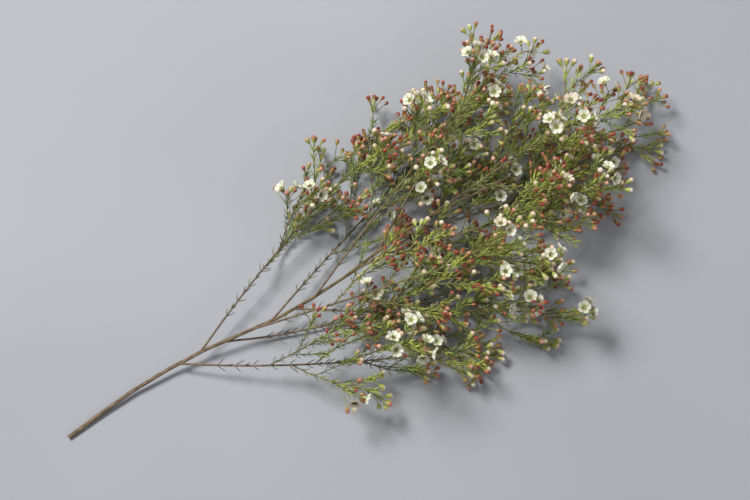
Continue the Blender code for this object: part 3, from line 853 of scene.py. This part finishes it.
def bowl_skin(skin, flower, sides, age, tone):
    """The green bowl in a flower's middle, with its raised rim, and the style standing in it."""
    centre, axis = flower["centre"], flower["axis"]
    rim = flower["radius"] * BOWL_SHARE
    bowl = []
    shape = ((-1.0, 0.8), (0.1, 1.0), (0.42, 0.98), (0.38, 0.84), (-0.05, 0.7), (-0.2, 0.36))
    for i, (height, share) in enumerate(shape):
        mark = (tone, max(0.0, 1 - i / 5), age)
        bowl.append(skin.ring(centre + axis * height * MM, sides, [rim * share] * 15, mark))
    bowl.append([skin.place(centre - axis * 0.12 * MM, (tone, 0.0, age))])
    skin.loft(bowl, finish=1)
    style = []
    mark = (tone, 1.0, 0.0)
    for height, girth in ((-0.3, 0.2), (1.9, 0.13), (2.1, 0.26), (2.35, 0.22)):
        style.append(skin.ring(centre + axis * height * MM, sides, [girth * MM] * 5, mark))
    style.append([skin.place(centre + axis * 2.42 * MM, mark)])
    skin.loft(style, finish=2)


def stamen_skin(skin, flower, sides, angle, rng, age):
    """A stamen that arches in from the bowl's rim, with its small round anther."""
    centre, axis = flower["centre"], flower["axis"]
    rim = flower["radius"] * BOWL_SHARE * 0.92
    out = around(sides, angle)
    turned_in = rng.uniform(0.5, 0.95)
    height = rng.uniform(0.8, 1.15) * MM
    points = [
        centre + out * rim + axis * 0.2 * MM,
        centre + out * (rim - 0.1 * MM) + axis * (0.2 * MM + height * 0.75),
        centre + out * (rim - 0.95 * turned_in * MM) + axis * (0.1 * MM + height),
    ]
    tone = rng.random()
    thread = []
    for point, frame, girth in zip(points, carried(points), (0.17, 0.14, 0.1)):
        thread.append(skin.ring(point, frame, [girth * MM] * 4, (tone, 0.0, age)))
    skin.loft(thread, finish=2)
    knob = points[-1]
    frame = crossed((points[-1] - points[-2]).normalized())
    way = frame[0].cross(frame[1])
    anther = []
    for polar in (2.5, 1.57, 0.6):
        radii = [0.3 * MM * math.sin(polar)] * 5
        anther.append(skin.ring(knob + way * 0.26 * MM * math.cos(polar), frame, radii, (tone, 1.0, age)))
    anther.append([skin.place(knob + way * 0.28 * MM, (tone, 1.0, age))])
    skin.loft(anther, finish=2)


def flower_skin(skin, flower, rng):
    """An open flower: five petals round a green bowl with ten stamens and a style, on its calyx tube."""
    stand = flower["axis"].to_track_quat("Z", "Y").to_matrix() @ Matrix.Rotation(flower["roll"], 3, "Z")
    sides = (stand @ Vector((1, 0, 0)), stand @ Vector((0, 1, 0)))
    age = rng.random() ** 2
    tone = rng.random()
    for i in range(PETALS):
        petal = {
            "angle": (i + 0.5) * math.tau / PETALS + rng.uniform(-0.05, 0.05),
            "reach": rng.uniform(0.93, 1.0),
            "width": rng.uniform(0.92, 1.08),
            "cupping": rng.uniform(0.5, 1.1),
            "curl": rng.uniform(-0.03, 0.14),
            "wave": rng.uniform(0, math.tau),
        }
        petal_skin(skin, flower, sides, petal, tone)
    bowl_skin(skin, flower, sides, age, tone)
    for i in range(STAMENS):
        stamen_skin(skin, flower, sides, (i + 0.5) * math.tau / STAMENS + rng.uniform(-0.08, 0.08), rng, age)
    cup_skin(skin, flower, CALYX_RADIUS, CALYX_LENGTH, rng.random(), rng.uniform(0.0, 0.4), finish=3)


def head_piece(name, head, materials):
    """A head of open flowers, whose stalks spread from a knob grown on the tip of its shoot."""
    rng = random.Random(f"{SEED} {name}")
    skin = Skin()
    for flower in head["flowers"]:
        flower_skin(skin, flower, rng)
    foot, along = head["foot"], head["along"]
    rings = []
    sides = crossed(along)
    for height, radius in ((-1.2, 0.42), (-0.5, 0.6), (0.0, 0.68), (0.5, 0.5)):
        rings.append(skin.ring(foot + along * height * MM, sides, [radius * MM] * 8, (0.4, 0.1, 0.2)))
    rings.append([skin.place(foot + along * 0.75 * MM, (0.4, 0.2, 0.2))])
    skin.loft(rings, finish=3)
    skin.piece(name + "_flowers", materials, "petal", name)


def bark_swell(stem, scars, share, angle):
    """How far the bark stands out from the stem's usual radius, as a share of it."""
    reach = share * stem.length
    swell = 0.0
    for height, fineness, length in BARK_RELIEF:
        c, s = math.cos(angle) * fineness, math.sin(angle) * fineness
        swell += height * noise.noise(Vector((c, s, reach / length)))
    for mark, side in scars:
        aside = math.remainder(angle - side, math.tau) / SCAR_TURN
        gap = math.hypot((mark - share) * stem.length / SCAR_LENGTH, aside)
        if gap < 1:
            swell += SCAR_SWELL * (1 - gap**2) ** 2
    return swell


def stem_piece(stem, bark, cut_wood):
    """The woody stem: cracked bark with the scars of fallen needles, and its pale cut end."""
    rng = random.Random(f"{SEED} bark")
    skin = Skin()
    # The solid's sides are flat, and the bark's usual radius is the one to their middles
    round_scale = math.cos(math.pi / STEM_SIDES)
    points = [stem.at(i / BARK_STEPS)[0] for i in range(BARK_STEPS + 1)]
    frames = carried(points)
    scars = [(rng.uniform(0.03, 0.95), rng.uniform(0, math.tau)) for _ in range(SCARS)]
    rings = []
    for i, (point, frame) in enumerate(zip(points, frames)):
        share = i / BARK_STEPS
        radii = []
        for j in range(BARK_SIDES):
            swell = bark_swell(stem, scars, share, j * math.tau / BARK_SIDES)
            radii.append(stem.radius(share) * round_scale * (1 + swell))
        rings.append(skin.ring(point, frame, radii, (0.5, share, 1 - share), share * stem.length))
    crown = [skin.place(points[-1] + (points[-1] - points[-2]).normalized() * 0.2 * MM, (0.5, 1, 0))]
    skin.loft([*rings, crown], closed=False)
    butt, frame = points[0], frames[0]
    way = frame[0].cross(frame[1])
    cut = [rings[0]]
    for share in CUT_RINGS:
        centre = butt + way * 0.12 * MM * (1 - share)
        radii = [CUT_RADIUS * round_scale * share] * BARK_SIDES
        cut.append(skin.ring(centre, frame, radii, (0.5, share, 1.0)))
    cut.append([skin.place(butt + way * 0.25 * MM, (0.5, 0.0, 1.0))])
    skin.loft(cut[::-1], finish=1, closed=False)
    skin.piece("stem_bark", [bark, cut_wood], "bark", "main_stem")


def depth_in_stem(stem, shoot):
    """How far back along its own line a main shoot starts, so that it grows out of the stem's heart."""
    foot, way = shoot.at(0)
    steps = 400
    axis = [stem.at(i / steps)[0] for i in range(steps + 1)]
    depths = [i * ROOT_STEP for i in range(1, ROOT_STEPS + 1)]
    return min(depths, key=lambda depth: min((foot - way * depth - place).length for place in axis))


def spray_pieces(spray, stem, space, finishes):
    """A spray's twigs, needles, cups and buds, each as one piece."""
    rng = random.Random(f"{SEED} finish of {spray.name}")
    twigs, needles, cups, buds = Skin(), Skin(), Skin(), Skin()
    for shoot in spray.shoots:
        buried = depth_in_stem(stem, shoot) if shoot.level == 1 else 0.0
        twig_skin(twigs, shoot, buried, rng.random(), TWIG_AGE[shoot.level])
    for shoot in spray.shoots:
        bare, spacing, usual = MAIN_TUFT if shoot.level == 1 else TWIG_TUFT
        plan_needles(space, spray, shoot, bare * shoot.length, spacing, usual)
    tints = {id(shoot): rng.random() for shoot in spray.shoots}
    for needle in spray.needles:
        shoot = needle["shoot"]
        age = 0.75 - 0.55 * needle["share"] + (0.25 if shoot.level == 1 else 0.0)
        age += 0.5 * (tints[id(shoot)] - 0.5)
        needle_skin(needles, needle, rng, min(max(age, 0.0), 1.0))
    for bud in spray.buds:
        redness = min(REDNESS[bud["stage"]] * rng.uniform(0.5, 1.3), 1.0)
        cup_skin(cups, bud, bud["ball"] * 0.97, bud["calyx"], rng.random(), redness)
        bud_skin(buds, bud, rng)
    twigs.piece(spray.name + "_twigs", [finishes["twig"]], "bark", spray.name)
    needles.piece(spray.name + "_needles", [finishes["needle"]], "leafy", spray.name)
    cups.piece(spray.name + "_cups", [finishes["cup"]], "leafy", spray.name)
    buds.piece(spray.name + "_buds", [finishes["bud"]], "leafy", spray.name)


def linear(code):
    """An sRGB hex value as linear red, green, blue and full alpha."""
    values = []
    for i in (0, 2, 4):
        value = int(code[i : i + 2], 16) / 255
        values.append(value / 12.92 if value <= 0.04045 else ((value + 0.055) / 1.055) ** 2.4)
    return (*values, 1.0)


class Finish:
    """A material in the making: its colours so far, and what they follow.

    That is the tone, share, age and grain of a Skin's points, and their place on the object.
    """

    def __init__(self, name, roughness, ior, **more):
        self.material = bpy.data.materials.new(name)
        self.material.use_nodes = True
        self.tree = self.material.node_tree
        self.shader = self.tree.nodes["Principled BSDF"]
        for socket, value in {"Roughness": roughness, "IOR": ior, **more}.items():
            self.shader.inputs[socket.replace("_", " ")].default_value = value
        growth = self.add("ShaderNodeAttribute", attribute_name="growth")
        parts = self.add("ShaderNodeSeparateColor", {0: growth.outputs["Color"]})
        self.tone, self.share, self.age = parts.outputs
        self.grain = self.add("ShaderNodeAttribute", attribute_name="grain").outputs["Vector"]
        self.place = self.add("ShaderNodeTexCoord").outputs["Object"]
        self.colours = None

    def add(self, kind, inputs=None, stops=(), **settings):
        """A shader node with these settings; inputs gives each socket a value or what feeds it."""
        made = self.tree.nodes.new(kind)
        for name, value in settings.items():
            setattr(made, name, value)
        for i, (position, code) in enumerate(stops):
            ramp = made.color_ramp.elements
            stop = ramp[i] if i < 2 else ramp.new(position)
            stop.position = position
            stop.color = linear(code)
        for socket, value in (inputs or {}).items():
            if isinstance(value, bpy.types.NodeSocket):
                self.tree.links.new(value, made.inputs[socket])
            else:
                made.inputs[socket].default_value = value
        return made

    def lay(self, value, *stops, cover=1.0, blend_type="MULTIPLY"):
        """A ramp of colours that follows value is laid over the colours so far, and its own are returned."""
        colours = self.add("ShaderNodeValToRGB", {0: value}, stops).outputs[0]
        if self.colours:
            inputs = {0: cover, 6: self.colours, 7: colours}
            mixed = self.add("ShaderNodeMix", inputs, data_type="RGBA", blend_type=blend_type)
            self.colours = mixed.outputs[2]
        else:
            self.colours = colours
        return colours

    def done(self, height=None, strength=0.0, depth=0.0, invert=False):
        """The material, with its colours and, where a height is given, a relief of this depth."""
        self.tree.links.new(self.colours, self.shader.inputs["Base Color"])
        if height:
            inputs = {"Height": height, "Strength": strength, "Distance": depth}
            bump = self.add("ShaderNodeBump", inputs, invert=invert)
            self.tree.links.new(bump.outputs[0], self.shader.inputs["Normal"])
        return self.material


def bark_material():
    """Waxflower bark, grown in thin fibrous strips: matt, grey on the old wood and brown in its cracks."""
    finish = Finish("fibrous bark", 0.85, 1.45)
    # A strip of bark is about 0.5 mm wide and 8 mm long
    drawn = finish.add("ShaderNodeVectorMath", {0: finish.grain, 1: (2000, 2000, 125)}, operation="MULTIPLY")
    fibres = finish.add("ShaderNodeTexNoise", {"Vector": drawn.outputs[0], "Scale": 1.0, "Detail": 5.0})
    strips = fibres.outputs["Fac"]
    finish.lay(strips, (0.3, "5a4a2c"), (0.55, "7b7040"), (0.75, "96804e"))
    old = finish.add("ShaderNodeMapRange", {0: finish.age, 1: 0.15, 2: 0.75}).outputs[0]
    finish.lay(strips, (0.3, "4a3a2c"), (0.5, "7d6a55"), (0.72, "a89a86"), cover=old, blend_type="MIX")
    # Worn and stained patches are about 6 mm across
    worn = finish.add("ShaderNodeTexNoise", {"Vector": finish.grain, "Scale": 160.0})
    finish.lay(worn.outputs["Fac"], (0.35, "b9b0a4"), (0.65, "ffffff"), cover=0.8)
    return finish.done(strips, 0.6, 0.15 * MM)


def cut_wood_material():
    """Freshly cut hardwood: pale cream with fine rings, a soft pith and a rim of green inner bark."""
    finish = Finish("cut wood", 0.7, 1.5)
    finish.lay(finish.share, (0.1, "a98b5c"), (0.2, "e0d2a8"), (0.8, "d8cc98"), (0.86, "8f9a58"))
    # The ends of wood fibres are finer than this, and are drawn 0.25 mm wide so that they show
    fibres = finish.add("ShaderNodeTexNoise", {"Vector": finish.place, "Scale": 4000.0})
    finish.lay(fibres.outputs["Fac"], (0.3, "c9bda4"), (0.6, "ffffff"), cover=0.7)
    return finish.done()


def needle_material():
    """Leathery needle leaf under a thin wax film: satin, yellow-green when young and grey-green when old."""
    finish = Finish(
        "waxy leaf", 0.38, 1.45,
        Coat_Weight=0.2, Coat_Roughness=0.3, Subsurface_Weight=0.08, Subsurface_Scale=0.4 * MM,
    )
    finish.lay(finish.age, (0.0, "d0dc68"), (0.28, "adbf56"), (0.6, "7b8f4c"), (1.0, "505c40"))
    finish.lay(finish.tone, (0.0, "cc9c78"), (0.26, "eeeadc"), (1.0, "ffffff"), cover=0.75)
    # The last seventh of a needle dries to a brown point
    finish.lay(
        finish.share, (0.0, "d8d0a0"), (0.12, "ffffff"), (0.86, "ffffff"), (1.0, "a58a66"), cover=0.8
    )
    # Oil glands are dots about 0.3 mm apart
    glands = finish.add("ShaderNodeTexVoronoi", {"Vector": finish.place, "Scale": 3200.0})
    return finish.done(glands.outputs["Distance"], 0.25, 0.05 * MM)


def cup_material():
    """Calyx skin, glossy with oil: yellow-green, flushed red-brown towards the mouth of young cups."""
    finish = Finish("oily calyx skin", 0.38, 1.47, Coat_Weight=0.25, Coat_Roughness=0.25)
    finish.lay(finish.share, (0.0, "8a9a45"), (0.5, "a3b455"), (1.0, "b3bf6a"))
    finish.lay(
        finish.share, (0.0, "94884a"), (0.35, "ab703f"), (1.0, "a04836"),
        cover=finish.age, blend_type="MIX",
    )
    finish.lay(finish.tone, (0.0, "c4bfa6"), (0.5, "ffffff"), cover=0.6)
    # Oil glands stand as pimples about 0.4 mm apart
    glands = finish.add("ShaderNodeTexVoronoi", {"Vector": finish.place, "Scale": 2600.0})
    return finish.done(glands.outputs["Distance"], 0.4, 0.08 * MM, invert=True)


def bud_material():
    """Waxy petals folded shut: a soft sheen, brick red while small, salmon and then cream when full."""
    finish = Finish(
        "waxy bud", 0.42, 1.45,
        Coat_Weight=0.12, Coat_Roughness=0.3, Subsurface_Weight=0.1, Subsurface_Scale=0.8 * MM,
    )
    finish.lay(
        finish.age, (0.0, "8a3830"), (0.16, "a24e42"), (0.36, "b87464"),
        (0.6, "d8b09c"), (0.8, "e5dcc7"), (1.0, "ebead8"),
    )
    finish.lay(finish.share, (0.1, "c8c08a"), (0.45, "fff6ee"), (1.0, "ffffff"), cover=0.75)
    finish.lay(finish.tone, (0.0, "b89a72"), (0.22, "f4e6dc"), (0.6, "ffffff"), cover=0.8)
    # The flush of pink is mottled, in patches about 1 mm across
    mottle = finish.add("ShaderNodeTexNoise", {"Vector": finish.place, "Scale": 900.0, "Detail": 3.0})
    finish.lay(mottle.outputs["Fac"], (0.35, "e2c4bc"), (0.62, "ffffff"), cover=0.55)
    # The grain's turn about the bud, counted in petals: each petal gets a painted shade where it slips under
    # the next, and the same ramp gives the seams their relief
    x, y, _ = finish.add("ShaderNodeSeparateXYZ", {0: finish.grain}).outputs
    turn = finish.add("ShaderNodeMath", {0: y, 1: x}, operation="ARCTAN2").outputs[0]
    petals = finish.add("ShaderNodeMath", {0: turn, 1: PETALS / math.tau}, operation="MULTIPLY").outputs[0]
    across_petal = finish.add("ShaderNodeMath", {0: petals}, operation="FRACT").outputs[0]
    seam_shade_and_relief = finish.lay(
        across_petal, (0.0, "a58a80"), (0.1, "ffffff"), (0.8, "ffffff"), (1.0, "f0e2d8"), cover=0.7
    )
    return finish.done(seam_shade_and_relief, 0.35, 0.12 * MM)


def petal_material():
    """Petal tissue, thin and slightly translucent: milk white, green at the claw, faintly veined."""
    finish = Finish(
        "petal tissue", 0.5, 1.4, Subsurface_Weight=0.25, Subsurface_Scale=0.9 * MM, Sheen_Weight=0.15
    )
    finish.lay(finish.share, (0.0, "a4ae62"), (0.18, "ced2ac"), (0.42, "dedbc8"), (1.0, "e5e2d3"))
    finish.lay(finish.tone, (0.75, "ffffff"), (1.0, "f4e0dc"), cover=0.8)
    # Veins fan from the claw, about 0.4 mm apart at the petal's middle
    fan = finish.add("ShaderNodeVectorMath", {0: finish.grain, 1: (14, 1.5, 1)}, operation="MULTIPLY")
    veins = finish.add("ShaderNodeTexNoise", {"Vector": fan.outputs[0], "Scale": 1.0, "Detail": 2.0})
    finish.lay(veins.outputs["Fac"], (0.38, "e3e2d4"), (0.58, "ffffff"), cover=0.5)
    return finish.done(veins.outputs["Fac"], 0.3, 0.1 * MM)


def bowl_material():
    """Nectar gland, wet and glossy: yellow-green in a new flower, olive to dark red in an old one."""
    finish = Finish("nectar gland", 0.22, 1.45, Coat_Weight=0.5, Coat_Roughness=0.12)
    finish.lay(finish.share, (0.0, "9aa344"), (0.35, "7f8e3a"), (0.6, "6c6a35"), (1.0, "a9b565"))
    finish.lay(
        finish.share, (0.0, "5d4a2a"), (0.35, "4f2c26"), (0.6, "57302a"), (1.0, "98a45c"),
        cover=finish.age, blend_type="MIX",
    )
    # Nectar stands in patches about 0.7 mm across
    drops = finish.add("ShaderNodeTexNoise", {"Vector": finish.place, "Scale": 1500.0})
    finish.lay(drops.outputs["Fac"], (0.3, "b0a98c"), (0.6, "ffffff"), cover=0.6)
    return finish.done()


def stamen_material():
    """Stamens: smooth white threads that end in matt knobs of pale brown pollen."""
    finish = Finish("stamen", 0.6, 1.4)
    finish.lay(finish.share, (0.1, "eef0dc"), (0.9, "c9b488"))
    finish.lay(finish.share, (0.1, "d8c8a8"), (0.9, "5c3f2c"), cover=finish.age, blend_type="MIX")
    # Pollen is finer than this, and is drawn in clumps of 0.17 mm so that it shows
    dust = finish.add("ShaderNodeTexNoise", {"Vector": finish.place, "Scale": 6000.0})
    finish.lay(dust.outputs["Fac"], (0.3, "d4c8b0"), (0.6, "ffffff"), cover=0.5)
    return finish.done()


def surface_material():
    """Matt painted board under the stem: a cool pale grey, barely uneven."""
    finish = Finish("matt board", 0.8, 1.45)
    # Its clouds are about 330 mm across
    cloud = finish.add("ShaderNodeTexNoise", {"Vector": finish.place, "Scale": 3.0})
    finish.lay(cloud.outputs["Fac"], (0.3, "9a9b9f"), (0.7, "a0a1a5"))
    return finish.done()


def make_camera():
    """A camera that looks down on the stem, its tip towards the picture's upper right."""
    target = Vector((-0.005, 0.003, 0.045))
    azimuth, elevation, distance = math.radians(60), math.radians(74), 1.76
    flat = math.cos(elevation)
    back = Vector((math.sin(azimuth) * flat, -math.cos(azimuth) * flat, math.sin(elevation)))
    camera = bpy.data.objects.new("camera", bpy.data.cameras.new("camera"))
    camera.data.lens = 85
    camera.location = target + back * distance
    camera.rotation_euler = (-back).to_track_quat("-Z", "Y").to_euler()
    bpy.context.scene.collection.objects.link(camera)
    bpy.context.scene.camera = camera


def make_lights():
    """A broad soft light from the picture's upper left, a weaker one opposite, and an even pale surround."""
    for name, place, size, power in (
        ("key_light", (-1.5, -0.5, 2.4), 0.9, 100),
        ("fill_light", (1.6, 1.1, 1.6), 1.8, 13),
    ):
        lamp = bpy.data.lights.new(name, "AREA")
        lamp.size = size
        lamp.energy = power
        light = bpy.data.objects.new(name, lamp)
        light.location = place
        light.rotation_euler = (Vector((0, 0, 0.05)) - Vector(place)).to_track_quat("-Z", "Y").to_euler()
        bpy.context.scene.collection.objects.link(light)
    world = bpy.data.worlds.new("pale surround")
    world.use_nodes = True
    world.node_tree.nodes["Background"].inputs["Color"].default_value = linear("d4d6dc")
    world.node_tree.nodes["Background"].inputs["Strength"].default_value = 0.38
    bpy.context.scene.world = world
    bpy.context.scene.view_settings.view_transform = "Standard"


def make_surface():
    """The pale surface that the stem lies on, just under its lowest point."""
    half = 12
    mesh = bpy.data.meshes.new("pale_surface")
    corners = [(-half, -half, 0), (half, -half, 0), (half, half, 0), (-half, half, 0)]
    mesh.from_pydata(corners, [], [(0, 1, 2, 3)])
    mesh.materials.append(surface_material())
    surface = bpy.data.objects.new("pale_surface", mesh)
    surface.location.z = -0.05 * MM
    bpy.context.scene.collection.objects.link(surface)


make_camera()
make_lights()
make_surface()
stem, sprays, space = plan_stem()
finishes = {
    "twig": bark_material(),
    "needle": needle_material(),
    "cup": cup_material(),
    "bud": bud_material(),
}
stem_piece(stem, finishes["twig"], cut_wood_material())
for spray in sprays:
    spray_pieces(spray, stem, space, finishes)
flower_finishes = [petal_material(), bowl_material(), stamen_material(), finishes["cup"]]
heads = [head for spray in sprays for head in spray.heads]
for number, head in enumerate(heads, 1):
    head_piece(f"flower_head_{number:02d}", head, flower_finishes)
